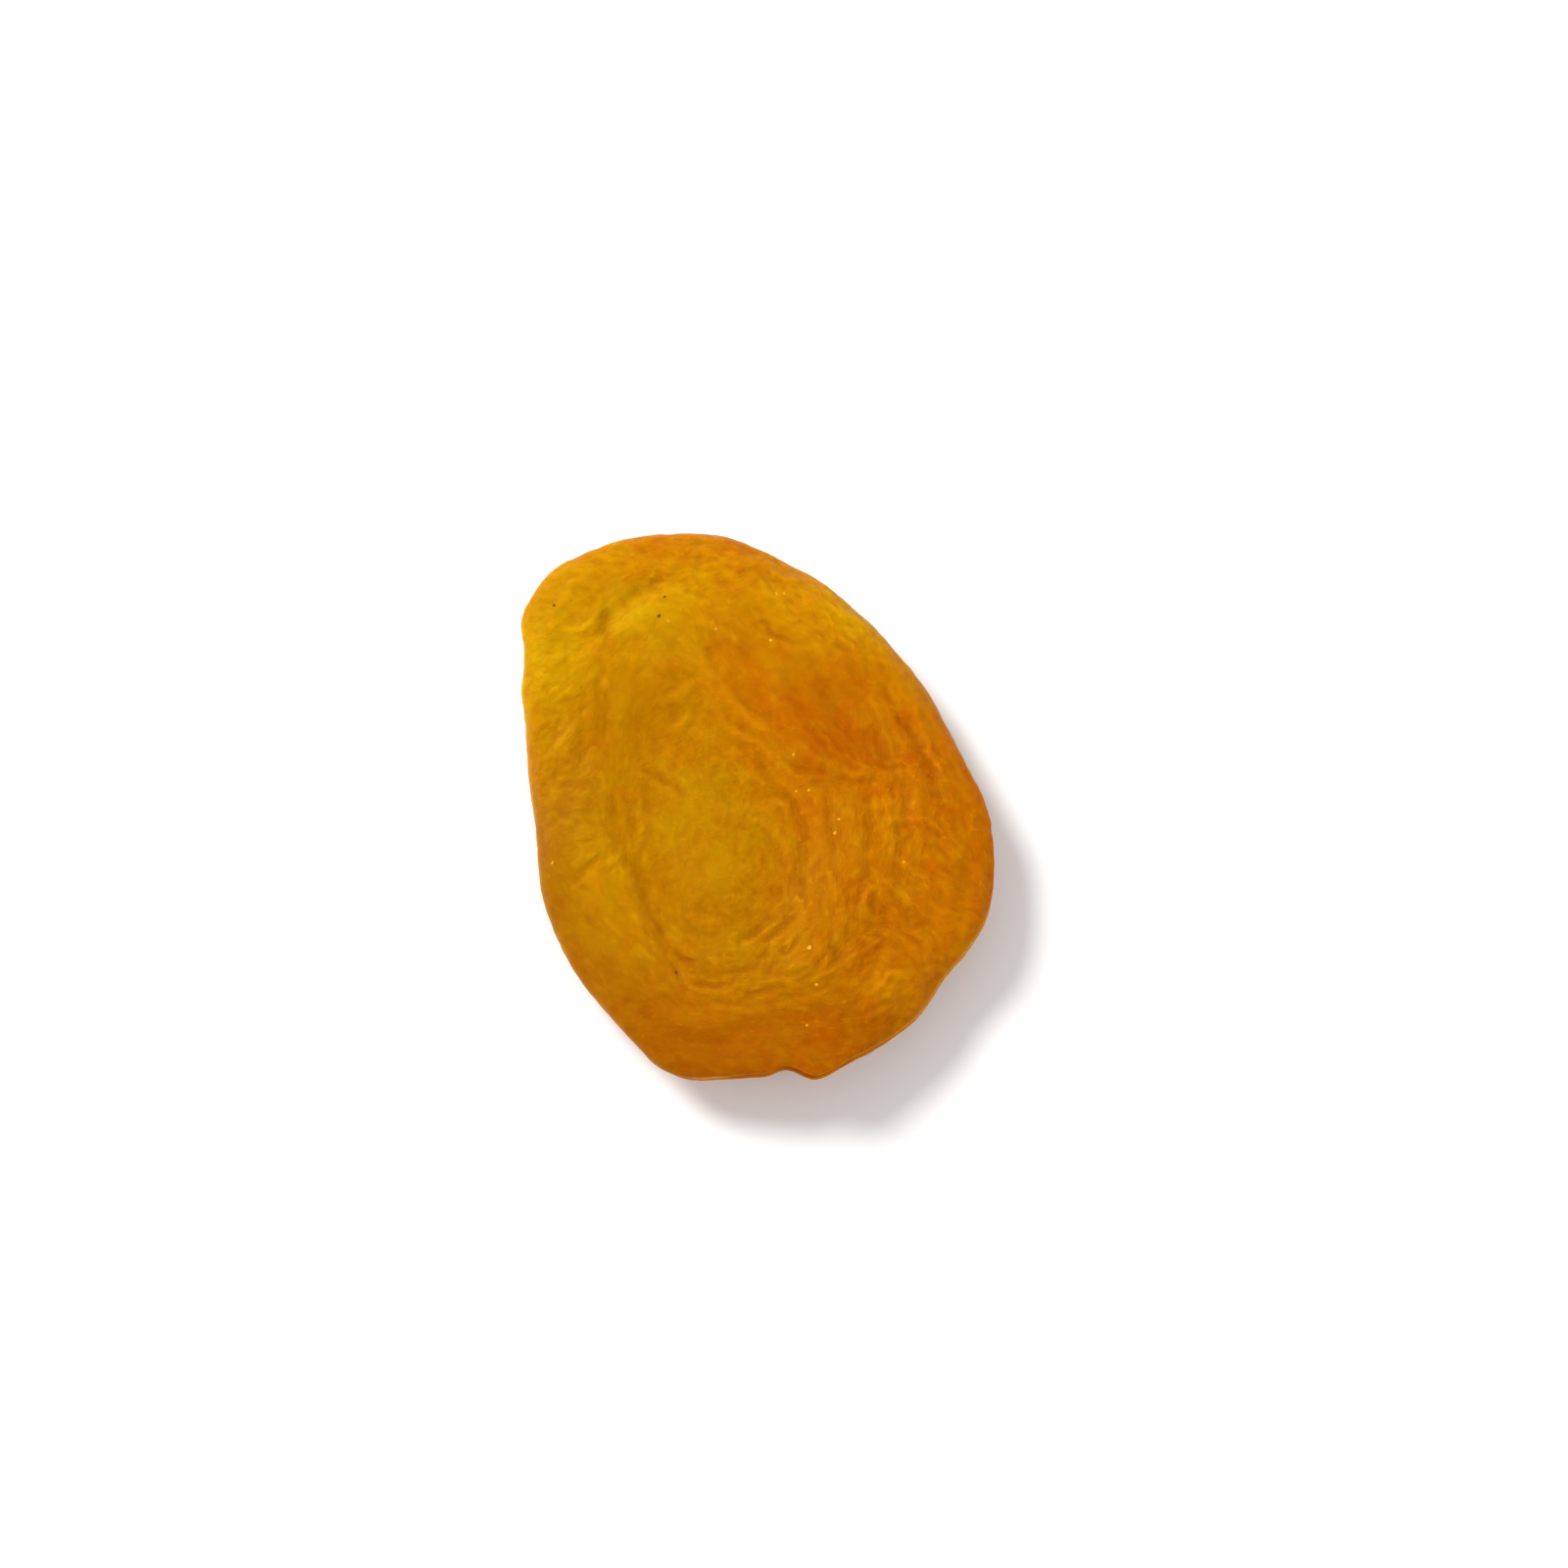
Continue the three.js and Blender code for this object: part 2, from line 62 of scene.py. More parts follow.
# Folds of the upper cheek that stand out in the light: how high each one is over the solid's
# own relief (below 0 for a groove), how wide, and the line it follows. Each strays a little from
# its line, and swells and sinks along it.
FOLD_RISE = 0.75
FOLD_SPREAD = 1.1
FOLD_STRAY = {"size": 1.3, "reach": 0.28}
FOLD_SWELL = {"size": 2.0, "swing": 0.9, "limits": (0.3, 2.0)}
FOLDS = [
    # Round the upper right of the stone's print
    (0.05, 0.24, [(-4.2, 11.4), (-3.4, 10.2), (-1.7, 8.3), (-0.4, 6.5), (1.3, 5.9)]),
    (-0.08, 0.34, [(-4.9, 15.0), (-3.6, 11.7), (-2.1, 9.6), (-0.5, 7.7), (1.7, 6.9)]),
    (-0.04, 0.34, [(-3.2, 8.6), (-2.1, 6.9), (-0.9, 6.1), (0.4, 5.5), (2.0, 5.1)]),
    (0.12, 0.22, [(-5.0, 8.2), (-3.5, 8.2), (-1.9, 5.9), (0.2, 5.2), (1.8, 3.4), (4.3, 1.6)]),
    (-0.3, 0.32, [(-0.1, 4.2), (0.9, 2.3), (1.7, 1.1), (3.0, 0.0), (4.0, -2.2), (4.2, -8.4)]),
    (0.12, 0.24, [(1.5, 0.5), (2.1, -0.2), (3.0, -1.6)]),
    # Between the print and the right rim
    (-0.08, 0.28, [(1.8, 4.0), (3.4, 2.9), (5.0, 2.6), (6.6, 2.3)]),
    (0.12, 0.26, [(4.6, 2.0), (6.6, 1.9)]),
    (-0.08, 0.28, [(7.2, 2.1), (8.4, 1.7), (9.9, 1.5)]),
    (0.16, 0.28, [(7.5, 2.9), (8.4, 2.2), (9.4, 2.3), (10.4, 3.0)]),
    (0.12, 0.24, [(5.3, 6.1), (6.2, 5.2), (6.8, 4.3), (7.6, 3.9)]),
    (-0.16, 0.3, [(6.1, 1.2), (6.2, -2.0), (6.7, -4.8), (6.7, -7.8)]),
    (-0.04, 0.3, [(9.8, 1.6), (9.5, -0.9), (9.4, -4.2), (8.5, -6.4)]),
    (-0.2, 0.28, [(7.0, -9.0), (6.4, -11.0), (6.2, -13.2), (5.1, -14.9), (3.6, -16.0)]),
    (-0.2, 0.3, [(6.6, -12.9), (7.0, -14.2)]),
    (0.06, 0.3, [(10.3, 1.2), (10.2, -1.0), (10.5, -3.6)]),
    (-0.07, 0.3, [(8.9, 8.4), (10.1, 6.0), (10.9, 3.3), (12.1, 0.0), (11.7, -3.6), (12.1, -7.0)]),
    (0.16, 0.3, [(9.8, 9.3), (10.8, 7.2), (11.5, 5.2), (11.9, 3.4)]),
    (-0.08, 0.3, [(9.9, 11.6), (11.6, 8.7), (13.4, 6.0), (14.8, 3.4), (15.5, 0.8), (16.5, -2.2)]),
    (0.1, 0.28, [(13.6, 9.7), (13.8, 8.0), (14.9, 4.6), (16.2, 1.8), (17.2, 0.6)]),
    (-0.16, 0.28, [(10.9, 2.9), (13.3, 3.0)]),
    (0.2, 0.26, [(11.8, -1.9), (13.2, -1.8), (14.7, -1.9), (15.3, -2.8)]),
    (0.14, 0.24, [(11.6, -3.6), (12.4, -3.4), (13.0, -2.8)]),
    (0.14, 0.3, [(12.2, -5.5), (13.2, -6.4)]),
    (0.14, 0.3, [(13.6, -8.0), (15.6, -8.3)]),
    # The crumpled corner at the lower right
    (0.34, 0.28, [(10.3, -7.7), (9.4, -8.5), (9.2, -9.4), (9.4, -10.5), (10.1, -11.0)]),
    (0.12, 0.28, [(10.7, -7.0), (11.6, -8.0), (13.2, -9.5)]),
    (0.22, 0.28, [(12.1, -10.9), (12.9, -11.8), (13.9, -12.1), (14.9, -13.4)]),
    (0.26, 0.3, [(8.7, -12.2), (10.2, -12.6), (9.2, -13.4), (7.9, -14.2), (7.9, -15.1)]),
    (0.14, 0.32, [(8.7, -18.0), (9.8, -17.3), (10.5, -16.4), (11.2, -15.5)]),
    (0.18, 0.34, [(10.7, -15.3), (11.8, -15.4), (13.1, -15.8)]),
    (0.13, 0.3, [(2.0, -17.6), (5.0, -17.4), (6.9, -17.7)]),
    # Left of the print
    (-0.08, 0.5, [(-8.4, -10.2), (-7.0, -14.4), (-5.7, -17.0)]),
    (0.12, 0.24, [(-15.6, -6.1), (-14.2, -5.4), (-13.2, -4.6)]),
    (0.1, 0.3, [(-15.5, -7.9), (-14.4, -7.0), (-11.9, -5.3), (-10.9, -4.4)]),
    (-0.06, 0.4, [(-15.4, -8.2), (-14.0, -10.4), (-12.0, -12.3), (-9.6, -14.2), (-8.6, -15.0)]),
    (0.1, 0.28, [(-15.3, -7.4), (-13.8, -9.5), (-11.8, -11.3), (-9.6, -13.2), (-8.3, -14.2)]),
    (-0.26, 0.38, [(-9.8, 2.8), (-8.3, 2.4), (-7.0, 1.7), (-5.8, 0.6)]),
    (0.1, 0.3, [(-9.9, 0.6), (-9.8, -1.6), (-9.8, -3.8)]),
    (-0.1, 0.3, [(-9.2, 0.2), (-9.0, -1.2)]),
    (0.16, 0.3, [(-19.0, 3.7), (-17.4, 4.1), (-16.2, 5.4), (-14.2, 7.9)]),
    (0.12, 0.26, [(-16.6, -1.5), (-15.1, -2.4)]),
    # Round the hump at the upper left
    (-0.09, 0.6, [(-12.8, 13.4), (-12.5, 16.2), (-8.2, 19.5), (-6.3, 20.8), (-2.4, 21.8)]),
    (-0.16, 0.7, [(-13.0, 12.4), (-13.5, 10.2), (-13.2, 8.0), (-12.9, 5.4)]),
    (-0.12, 0.26, [(-17.4, 15.6), (-15.0, 15.4), (-12.3, 16.4)]),
    (-0.24, 0.5, [(-12.8, 16.8), (-12.8, 14.2)]),
    (0.14, 0.26, [(-16.6, 14.7), (-14.9, 14.7), (-13.8, 15.6), (-13.1, 16.5)]),
    (0.1, 0.3, [(-12.7, 10.6), (-12.9, 9.4)]),
    (0.1, 0.26, [(-17.6, 8.4), (-15.8, 9.2)]),
    (0.14, 0.28, [(-6.6, 13.9), (-5.2, 13.0), (-4.2, 12.0)]),
    (0.14, 0.28, [(-4.8, 15.8), (-3.0, 14.5), (-1.3, 13.9)]),
    (-0.12, 0.3, [(0.2, 15.8), (1.8, 14.6), (4.7, 13.8)]),
    (0.14, 0.26, [(6.7, 17.1), (8.7, 16.1), (10.2, 14.9), (11.6, 13.2)]),
    (0.13, 0.28, [(8.0, 13.8), (9.7, 12.8), (12.0, 12.1)]),
    (0.12, 0.24, [(5.2, 15.5), (6.8, 13.8)]),
    (0.1, 0.3, [(-7.1, 6.5), (-5.4, 7.8)]),
    (0.1, 0.3, [(-7.0, 8.9), (-5.1, 10.5)]),
    # Arcs below the print
    (-0.26, 0.28, [(-1.6, -12.3), (0.0, -11.6), (1.8, -10.1)]),
    (-0.26, 0.28, [(0.6, -12.4), (1.9, -11.3), (3.4, -9.9)]),
    (-0.24, 0.28, [(-3.0, -14.9), (-1.0, -14.9), (0.6, -14.5)]),
    (-0.22, 0.28, [(-4.9, -15.9), (-3.3, -16.1), (-1.6, -16.0)]),
    (-0.14, 0.28, [(-6.8, -13.1), (-6.0, -13.8), (-4.8, -14.3)]),
    (-0.22, 0.28, [(-0.8, -17.1), (1.0, -16.7), (2.8, -16.4)]),
    (0.14, 0.26, [(-6.2, -15.9), (-3.3, -16.9), (-0.6, -16.3)]),
    (0.12, 0.28, [(-8.6, -16.2), (-6.3, -17.0)]),
    (0.12, 0.28, [(-3.9, -18.0), (-1.4, -18.7), (1.0, -18.7)]),
    (-0.22, 0.28, [(1.6, -15.6), (3.6, -15.2), (4.8, -14.8)]),
    (-0.18, 0.28, [(2.4, -13.6), (3.1, -13.0), (4.3, -12.0)]),
    (-0.14, 0.26, [(0.0, -13.9), (1.2, -13.3)]),
]

# Lines that show which way the small wrinkles run where no fold does.
GRAIN_LINES = [
    [(-19.0, 17.0), (-14.0, 17.8), (-8.5, 19.6), (-3.5, 21.0)],
    [(-19.2, 13.6), (-15.5, 13.8)],
    [(-19.2, 9.6), (-14.1, 11.4)],
    [(-18.9, 4.1), (-15.7, 6.1)],
    [(-18.8, -0.6), (-15.6, -1.2)],
    [(-12.5, 22.5), (-4.1, 23.2), (2.3, 20.9), (8.5, 16.9), (12.6, 11.2), (16.5, 4.8)],
    [(-8.6, 19.5), (-4.1, 16.2), (2.3, 14.2), (6.8, 10.2)],
    [(-9.0, 1.5), (-9.6, -4.0), (-7.4, -9.5), (-3.0, -12.4), (1.4, -10.6), (2.6, -6.0)],
    [(-6.0, 2.0), (-6.6, -3.0), (-4.8, -7.6), (-1.4, -8.8)],
    [(-2.6, 2.6), (0.2, -0.8), (0.9, -4.6)],
    [(-15.7, -7.6), (-11.5, -12.3), (-7.6, -14.9)],
    [(-9.0, -19.0), (-1.2, -20.4), (5.4, -20.6)],
]
GRAIN_REACH = 4.0  # how far a line's direction is felt
GRAIN_TURNS = 6  # noise is drawn out in this many directions and mixed

# Layers of small wrinkles: size of one, how many times as long as wide it is, its height, and
# whether its valleys (-1) or its crests (1) are the sharp ones.
WRINKLES = [
    {"size": 1.1, "stretch": 2.6, "height": 0.042, "sharp": -1},
    {"size": 0.75, "stretch": 2.4, "height": 0.03, "sharp": 1},
]
WANDER = {"size": 2.4, "reach": 0.9}  # how the grain meanders
STREAK_GAIN = 2.2  # brings the mixed noise back to about -1 to 1
PROFILE = {"top": 0.5, "slope": 1.4, "rounding": 0.015}  # of a wrinkle, from side to side

# How wrinkled the skin is: a base, and patches that are more so or less.
BASE_STRENGTH = 0.72
STRENGTH_LIMITS = (0.1, 1.5)
STRENGTHS = [
    {"at": (-11.2, 8.5), "half": (3.2, 3.6), "turn": 0, "by": -0.45},
    {"at": (5.2, 10.2), "half": (5.0, 3.3), "turn": -35, "by": -0.5},
    {"at": (-6.0, -3.0), "half": (3.8, 6.5), "turn": 10, "by": -0.3},
    {"at": (-13.2, -13.0), "half": (3.2, 7.5), "turn": 32, "by": -0.45},
    {"at": (-2.2, -21.3), "half": (9.5, 2.6), "turn": 0, "by": -0.35},
    {"at": (0.0, -14.0), "half": (8.5, 3.4), "turn": 0, "by": 0.35},
    {"at": (12.5, -1.5), "half": (7.0, 10.0), "turn": 0, "by": 0.35},
    {"at": (11.4, -11.0), "half": (5.0, 5.0), "turn": 0, "by": 0.15},
    {"at": (-17.2, 11.0), "half": (2.8, 8.5), "turn": 0, "by": 0.35},
    {"at": (-7.0, 21.0), "half": (10.0, 3.0), "turn": 0, "by": 0.6},
    {"at": (6.0, 17.0), "half": (6.0, 2.6), "turn": -38, "by": 0.6},
    {"at": (4.5, -17.5), "half": (5.5, 4.5), "turn": 0, "by": 0.2},
    {"at": (4.3, -7.0), "half": (1.8, 4.0), "turn": 0, "by": 0.4},
]
# How far the fine wrinkles follow the grain: in the floor of the print they hardly do.
BASE_DRAWN = 1.0
DRAWN = [{"at": (-4.6, -1.5), "half": (6.5, 8.5), "turn": 14, "by": -0.85}]

# Layers of soft folds that cross each other, whatever the grain.
CRUMPLE = [{"size": 1.6, "height": 0.03}, {"size": 1.0, "height": 0.022}]
CRUMPLE_SLOPE = 2.5
FLOOR_FADE = (0.02, 0.8)  # heights over the floor between which the fine relief sets in

# Rounds of smoothing that show what lies deep: narrow creases and wide hollows, and the depth
# in millimetres at which each one counts in full. The colour takes painted shade where the skin
# lies deep and a painted highlight where it stands out.
NARROW = {"rounds": 6, "depth": 0.05}
WIDE = {"rounds": 60, "depth": 0.3}
DEEP_SHARE = 0.6  # of each of the two in what the colour takes as deep

# How yellow the skin is, from 0 for deep orange to 1 for yellow, and its patches.
BASE_YELLOW = 0.06
PATCHES = [
    {"at": (-17.9, 12.3), "half": (4.5, 7.0), "turn": 0, "by": 0.62},
    # This patch paints light on the hump at the upper left
    {"at": (-9.1, 16.6), "half": (4.5, 3.5), "turn": 20, "by": 0.4},
    {"at": (-9.0, 10.0), "half": (6.5, 5.0), "turn": 0, "by": 0.24},
    {"at": (-3.0, 17.5), "half": (12.0, 5.0), "turn": 0, "by": 0.24},
    {"at": (4.8, 15.4), "half": (6.0, 4.0), "turn": -35, "by": 0.26},
    {"at": (1.8, 7.4), "half": (4.0, 2.6), "turn": -35, "by": -0.16},
    {"at": (-4.4, -2.5), "half": (8.5, 11.0), "turn": 14, "by": 0.52},
    {"at": (-14.9, -4.6), "half": (4.0, 8.0), "turn": 10, "by": 0.34},
    {"at": (-12.9, -12.7), "half": (5.0, 4.0), "turn": 0, "by": 0.12},
    {"at": (12.5, -4.0), "half": (6.0, 12.0), "turn": 0, "by": 0.12},
    {"at": (0.0, -14.5), "half": (13.0, 4.5), "turn": 0, "by": 0.16},
    {"at": (-13.5, 20.5), "half": (5.0, 2.5), "turn": 25, "by": 0.26},
    {"at": (11.0, 4.3), "half": (8.0, 2.5), "turn": 0, "by": -0.08},
    {"at": (9.0, -11.5), "half": (4.0, 3.5), "turn": 0, "by": -0.06},
    {"at": (-2.5, 21.0), "half": (2.5, 1.8), "turn": 0, "by": 0.12},
    {"at": (12.5, -8.5), "half": (1.8, 1.8), "turn": 0, "by": 0.1},
    {"at": (-9.0, 4.4), "half": (2.2, 1.4), "turn": 0, "by": 0.1},
    {"at": (8.5, -20.0), "half": (3.0, 1.5), "turn": 25, "by": -0.12},
    {"at": (-17.8, 3.5), "half": (1.6, 3.5), "turn": 0, "by": 0.1},
    {"at": (9.6, 14.8), "half": (6.0, 1.6), "turn": -45, "by": 0.26},
    {"at": (15.0, 6.5), "half": (4.0, 1.2), "turn": -62, "by": 0.12},
    {"at": (11.5, -16.5), "half": (2.6, 2.0), "turn": 40, "by": 0.12},
]
MOTTLE = {"size": 3.2, "swing": 0.12}

# How dark the flesh is beside its base, and its patches: darker towards the stem end. This is
# partly painted shade, on the lower part that turns from the light and in folds, and partly the
# flesh's own colour.
BASE_DEPTH = 0.15
SHADE_AND_DEPTH_PATCHES = [
    {"at": (-5.0, -24.0), "half": (24.0, 16.0), "turn": 8, "by": 0.75},
    {"at": (13.4, -14.0), "half": (5.5, 5.5), "turn": 0, "by": -0.35},
    {"at": (-4.4, -2.5), "half": (8.5, 10.0), "turn": 14, "by": 0.3},
    {"at": (-11.0, -3.0), "half": (2.6, 7.0), "turn": 10, "by": -0.3},
    {"at": (14.0, 2.0), "half": (8.0, 9.0), "turn": 0, "by": 0.2},
    {"at": (-18.5, -4.0), "half": (4.5, 8.0), "turn": 0, "by": 0.65},
    {"at": (-14.2, 2.5), "half": (3.0, 5.5), "turn": 0, "by": 0.5},
    {"at": (-17.5, 16.8), "half": (2.5, 2.5), "turn": 0, "by": 0.3},
    {"at": (-17.5, -6.5), "half": (2.5, 5.5), "turn": 10, "by": 0.3},
    {"at": (-14.0, -15.5), "half": (4.0, 6.5), "turn": 35, "by": 0.4},
    {"at": (-8.5, 7.5), "half": (5.0, 4.0), "turn": 0, "by": -0.15},
    {"at": (-6.5, 13.8), "half": (4.5, 2.4), "turn": 0, "by": 0.3},
    {"at": (-3.2, 1.4), "half": (2.6, 2.2), "turn": 0, "by": 0.25},
    {"at": (-0.8, 4.6), "half": (2.0, 2.0), "turn": 0, "by": -0.25},
    {"at": (1.3, 0.8), "half": (1.5, 2.2), "turn": 0, "by": -0.25},
    {"at": (7.0, 13.6), "half": (4.0, 1.1), "turn": -45, "by": 0.15},
    {"at": (10.0, 4.3), "half": (8.0, 2.5), "turn": 0, "by": 0.2},
    {"at": (4.3, -7.0), "half": (1.8, 4.0), "turn": 0, "by": 0.15},
    {"at": (9.5, -10.5), "half": (4.5, 4.0), "turn": 0, "by": 0.25},
    {"at": (-6.5, -21.5), "half": (4.5, 2.4), "turn": 0, "by": 0.25},
    {"at": (-3.0, 17.0), "half": (4.0, 3.0), "turn": 0, "by": -0.2},
    {"at": (7.5, -2.5), "half": (1.6, 3.0), "turn": 0, "by": 0.25},
    {"at": (3.0, 19.3), "half": (2.5, 1.3), "turn": -30, "by": 0.3},
    {"at": (2.6, 12.0), "half": (2.2, 2.0), "turn": 0, "by": -0.45},
    {"at": (-14.3, 12.0), "half": (1.8, 1.8), "turn": 0, "by": -0.25},
    {"at": (-1.0, 4.2), "half": (2.0, 1.2), "turn": -35, "by": -0.2},
    {"at": (12.2, -16.4), "half": (1.8, 1.4), "turn": 0, "by": -0.35},
    {"at": (15.6, -12.2), "half": (2.8, 0.9), "turn": 62, "by": -0.3},
    {"at": (16.6, 0.6), "half": (3.2, 0.9), "turn": -70, "by": 0.25},
    {"at": (-5.0, -19.0), "half": (5.0, 1.2), "turn": 0, "by": -0.25},
    {"at": (-5.5, -22.4), "half": (4.0, 1.2), "turn": 0, "by": 0.3},
    {"at": (13.2, -10.9), "half": (2.0, 1.8), "turn": 0, "by": 0.25},
    {"at": (7.8, -18.5), "half": (1.6, 1.4), "turn": 0, "by": 0.25},
    {"at": (-14.5, -0.8), "half": (1.6, 2.2), "turn": 0, "by": 0.2},
    {"at": (9.0, 16.0), "half": (5.0, 1.3), "turn": -42, "by": -0.5},
    {"at": (13.0, 9.5), "half": (4.0, 1.0), "turn": -58, "by": -0.2},
    {"at": (-11.6, -5.4), "half": (1.8, 1.2), "turn": 0, "by": -0.2},
    {"at": (12.0, 0.2), "half": (1.8, 1.8), "turn": 0, "by": -0.2},
    {"at": (17.6, -7.4), "half": (2.8, 0.8), "turn": 80, "by": 0.35},
    {"at": (7.3, -13.9), "half": (1.3, 0.8), "turn": 45, "by": 0.35},
    {"at": (-16.7, 6.6), "half": (1.2, 1.0), "turn": 0, "by": 0.25},
    {"at": (-16.8, 1.3), "half": (1.6, 1.2), "turn": 0, "by": -0.2},
    {"at": (-15.0, -7.0), "half": (2.0, 3.0), "turn": 0, "by": -0.2},
    {"at": (4.9, 1.6), "half": (2.4, 0.9), "turn": -60, "by": 0.3},
    {"at": (6.3, -3.5), "half": (3.5, 0.8), "turn": -85, "by": 0.2},
    {"at": (8.7, -2.5), "half": (3.0, 0.6), "turn": 90, "by": -0.2},
    {"at": (-6.8, -22.2), "half": (1.6, 1.4), "turn": 0, "by": 0.3},
    {"at": (-12.9, 15.6), "half": (0.9, 1.6), "turn": 0, "by": 0.35},
    {"at": (-9.3, 18.9), "half": (2.8, 0.7), "turn": 22, "by": 0.3},
]

# The rim is thin and lets light through, and that light is painted: there the skin is painted
# this much yellower and less deep, and its very edge is painted lighter, as a glow.
PAINTED_RIM_YELLOW = 0.12
PAINTED_RIM_DEPTH = -0.35
PAINTED_EDGE_GLOW = (1.13, 1.22, 1.5)

# Specks paler than the skin, and dark dots: place and size.
BRIGHT_SPECKS = [(4.45, -13.1, 0.18), (1.3, 14.2, 0.13)]
PALE_SPECKS = [
    (-7.6, 15.5, 0.15), (1.8, 18.3, 0.13), (2.4, 18.3, 0.11), (-3.5, 14.9, 0.13), (3.3, 3.9, 0.13),
    (3.5, 0.8, 0.11), (4.6, 0.8, 0.13), (6.7, -3.1, 0.15), (7.0, -1.8, 0.1), (5.1, -16.3, 0.14),
    (-17.2, -5.3, 0.13), (4.4, -19.8, 0.11), (12.6, -5.6, 0.13),
]
DARK_DOTS = [(-8.4, 15.9, 0.16), (-7.8, 17.7, 0.14), (-6.6, -15.1, 0.17), (-17.3, 16.8, 0.14)]

DOT_EDGE = (1.1, 0.7)  # shares of a dot's radius where it sets in and where it is in full

# The skin's colours, and what they are multiplied by: painted shade in creases, a painted
# highlight on crests, and in deep flesh a darker tone that is partly painted shade
YELLOW = (0.53, 0.31, 0.001)
ORANGE = (0.455, 0.109, 0.0005)
CREASE_SHADE_TONE = (0.78, 0.64, 0.5)
CREST_HIGHLIGHT_TONE = (1.16, 1.26, 2.0)
SHADE_AND_DEPTH_TONE = (0.68, 0.64, 0.6)
CREASE_SHARE = 0.7  # of the crease's and the crest's tone that the skin takes

# The colours of the pale specks, of the light on the plates' edges and of the dark dots
BRIGHT_TONE = (0.74, 0.38, 0.06)
PALE_TONE = (0.66, 0.32, 0.02)
GLINT_TONE = (0.72, 0.33, 0.002)
DARK_TONE = (0.14, 0.045, 0.004)

# The skin's finest relief and tones. Each noise has a size in millimetres, and counts from
# nothing to all between two of its own values.
SMALL_MOTTLE = {"size": 1.4, "between": (0.3, 0.7), "swing": 0.11}
BLOTCHES = {"size": 1.0, "between": (0.35, 0.65), "tone": (0.96, 1.04)}
GLOSS = {"size": 0.9, "between": (0.3, 0.7), "roughness": (0.4, 0.58)}
PLATES = {"size": 0.95, "stretch": 2.5, "between": (0.475, 0.525), "height": 0.6}
SMALL_PLATES = {"size": 0.5, "stretch": 3.0, "between": (0.465, 0.535), "height": 0.4}
# Painted shade on the low plates and painted light on the raised ones, as tones
PLATE_SHADE_TONE = (0.96, 1.06)
PLATE_STRAY = {"size": 1.2, "reach": 0.4}
DOT_STRAY = {"size": 0.25, "reach": 0.12}

# Light caught here and there by the edges of the plates, and by the tops of the small ones
EDGE_LIGHT = {"in": (0.52, 0.535), "out": (0.57, 0.55)}
EDGE_GAPS = {"size": 0.8, "between": (0.57, 0.66), "share": 0.2}
TOP_LIGHT = {"between": (0.64, 0.7), "share": 0.14}

BUMP = {"strength": 0.45, "distance": 0.1}
SKIN_SHADER = {
    "Subsurface Weight": 0.35,
    "Subsurface Radius": (1.0, 0.35, 0.04),
    "Subsurface Scale": 1.2 * MM,
    "Specular IOR Level": 0.1,
    "Specular Tint": (1.0, 0.6, 0.02, 1.0),
}

# Seeds of the noise, and how far apart in it two seeds lie
SEED_SHIFT = 37.1
WRINKLE_SEED = 0
CRUMPLE_SEED = 200
FOLD_SEED = 300
MOTTLE_SEED = 500


def smoothstep(value, low, high):
    """0 at low and 1 at high, with a soft start and end. High may be the smaller one."""
    share = np.clip((value - low) / (high - low), 0.0, 1.0)
    return share * share * (3.0 - 2.0 * share)


def gauss(distance):
    """1 in the middle, about a third at distance 1 and next to nothing at 2."""
    return np.exp(-distance * distance)


def noise_at(points, seed):
    """Smooth noise from -1 to 1 at each point. Its lumps are about one unit across."""
    shift = SEED_SHIFT * seed
    return np.array([noise.noise((x, y, z + shift)) for x, y, z in points.tolist()])


def round_oval(x, y, oval):
    """How far out a point lies in an oval: 0 in its middle, 1 on its edge."""
    turn = math.radians(oval["turn"])
    dx = x - oval["at"][0]
    dy = y - oval["at"][1]
    along_x = (dx * math.cos(turn) + dy * math.sin(turn)) / oval["half"][0]
    along_y = (dy * math.cos(turn) - dx * math.sin(turn)) / oval["half"][1]
    return np.hypot(along_x, along_y)


def distance_to_line(x, y, line):
    """Distance to a polyline, and how far along it the nearest place lies, from 0 to 1."""
    nearest = np.full(len(x), np.inf)
    along = np.zeros(len(x))
    spans = len(line) - 1
    for i, ((ax, ay), (bx, by)) in enumerate(zip(line, line[1:])):
        ux, uy = bx - ax, by - ay
        share = np.clip(((x - ax) * ux + (y - ay) * uy) / (ux * ux + uy * uy), 0.0, 1.0)
        distance = np.hypot(x - ax - share * ux, y - ay - share * uy)
        closer = distance < nearest
        nearest[closer] = distance[closer]
        along[closer] = (i + share[closer]) / spans
    return nearest, along


def make_camera():
    """Looks down on the fruit, with the stem end nearest."""
    camera = bpy.data.objects.new("camera", bpy.data.cameras.new("camera"))
    bpy.context.scene.collection.objects.link(camera)
    camera.data.lens = LENS
    camera.data.sensor_width = SENSOR
    camera.data.clip_start = NEAR_CLIP
    back = Vector((0.0, -math.cos(ELEVATION), math.sin(ELEVATION)))
    distance = FRAME_SPAN * LENS / SENSOR
    camera.location = (Vector(AIM) + back * distance) * MM
    camera.rotation_euler = (-back).to_track_quat("-Z", "Y").to_euler()
    bpy.context.scene.camera = camera


